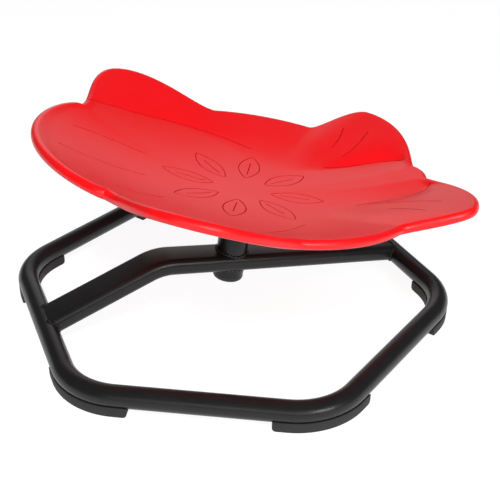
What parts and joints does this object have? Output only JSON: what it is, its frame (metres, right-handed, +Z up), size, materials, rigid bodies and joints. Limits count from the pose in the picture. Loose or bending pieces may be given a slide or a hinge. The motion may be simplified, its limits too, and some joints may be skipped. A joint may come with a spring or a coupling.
{
  "type": "toddler spinning seat",
  "caption": "Low spinning seat for a toddler: a lobed moulded dish turns freely on a tilted ball-bearing hub, carried by a bent crossbar inside a hexagonal tube ring on rubber feet.",
  "frame": {"origin": "on the floor, at the middle of the whole footprint, under the crossbar", "axes": "+Z up, +X along the crossbar towards its low end, +Y across the crossbar"},
  "size_m": [0.5924, 0.6168, 0.2751],
  "materials": {
    "frame_paint": "black semi-gloss powder coat with a fine texture",
    "foot_rubber": "matte black moulded rubber",
    "cap_plastic": "satin black",
    "bearing_steel": "ground bearing steel",
    "plated_steel": "bright zinc plate",
    "insert_brass": "turned brass",
    "seat_plastic": "red moulded polypropylene, satin with a soft sheen"
  },
  "bodies": {
    "base": {"base_ring": "frame_paint", "crossbar": "frame_paint", "foot_1": "foot_rubber", "foot_2": "foot_rubber", "foot_3": "foot_rubber", "foot_4": "foot_rubber", "foot_5": "foot_rubber", "foot_6": "foot_rubber", "foot_screws": "plated_steel", "hub_housing": "frame_paint", "hub_cap": "cap_plastic", "upper_outer_race": "bearing_steel", "lower_outer_race": "bearing_steel"},
    "seat": {"seat_shell": "seat_plastic", "seat_plate": "frame_paint", "stem_tube": "frame_paint", "spindle": "bearing_steel", "dust_washer": "plated_steel", "upper_inner_race": "bearing_steel", "lower_inner_race": "bearing_steel", "bearing_spacer": "bearing_steel", "retaining_washer": "plated_steel", "lock_nut": "plated_steel", "seat_bolts": "plated_steel", "bolt_washers": "plated_steel", "threaded_inserts": "insert_brass"},
    "upper_ball_set": {"upper_balls": "bearing_steel", "upper_cage": "bearing_steel"},
    "lower_ball_set": {"lower_balls": "bearing_steel", "lower_cage": "bearing_steel"}
  },
  "joints": [
    {"name": "seat_spin", "type": "hinge", "parent": "base", "child": "seat", "pos_m": [-0.0155, 0, 0.0635], "axis": [0.1537, 0, 0.9881], "continuous": true},
    {"name": "upper_balls_roll", "type": "hinge", "parent": "base", "child": "upper_ball_set", "pos_m": [-0.0155, 0, 0.0635], "axis": [0.1537, 0, 0.9881], "continuous": true},
    {"name": "lower_balls_roll", "type": "hinge", "parent": "base", "child": "lower_ball_set", "pos_m": [-0.0155, 0, 0.0635], "axis": [0.1537, 0, 0.9881], "continuous": true}
  ],
  "couplings": [
    {"joint": "upper_balls_roll", "follows": "seat_spin", "ratio": 0.38},
    {"joint": "lower_balls_roll", "follows": "seat_spin", "ratio": 0.38}
  ]
}
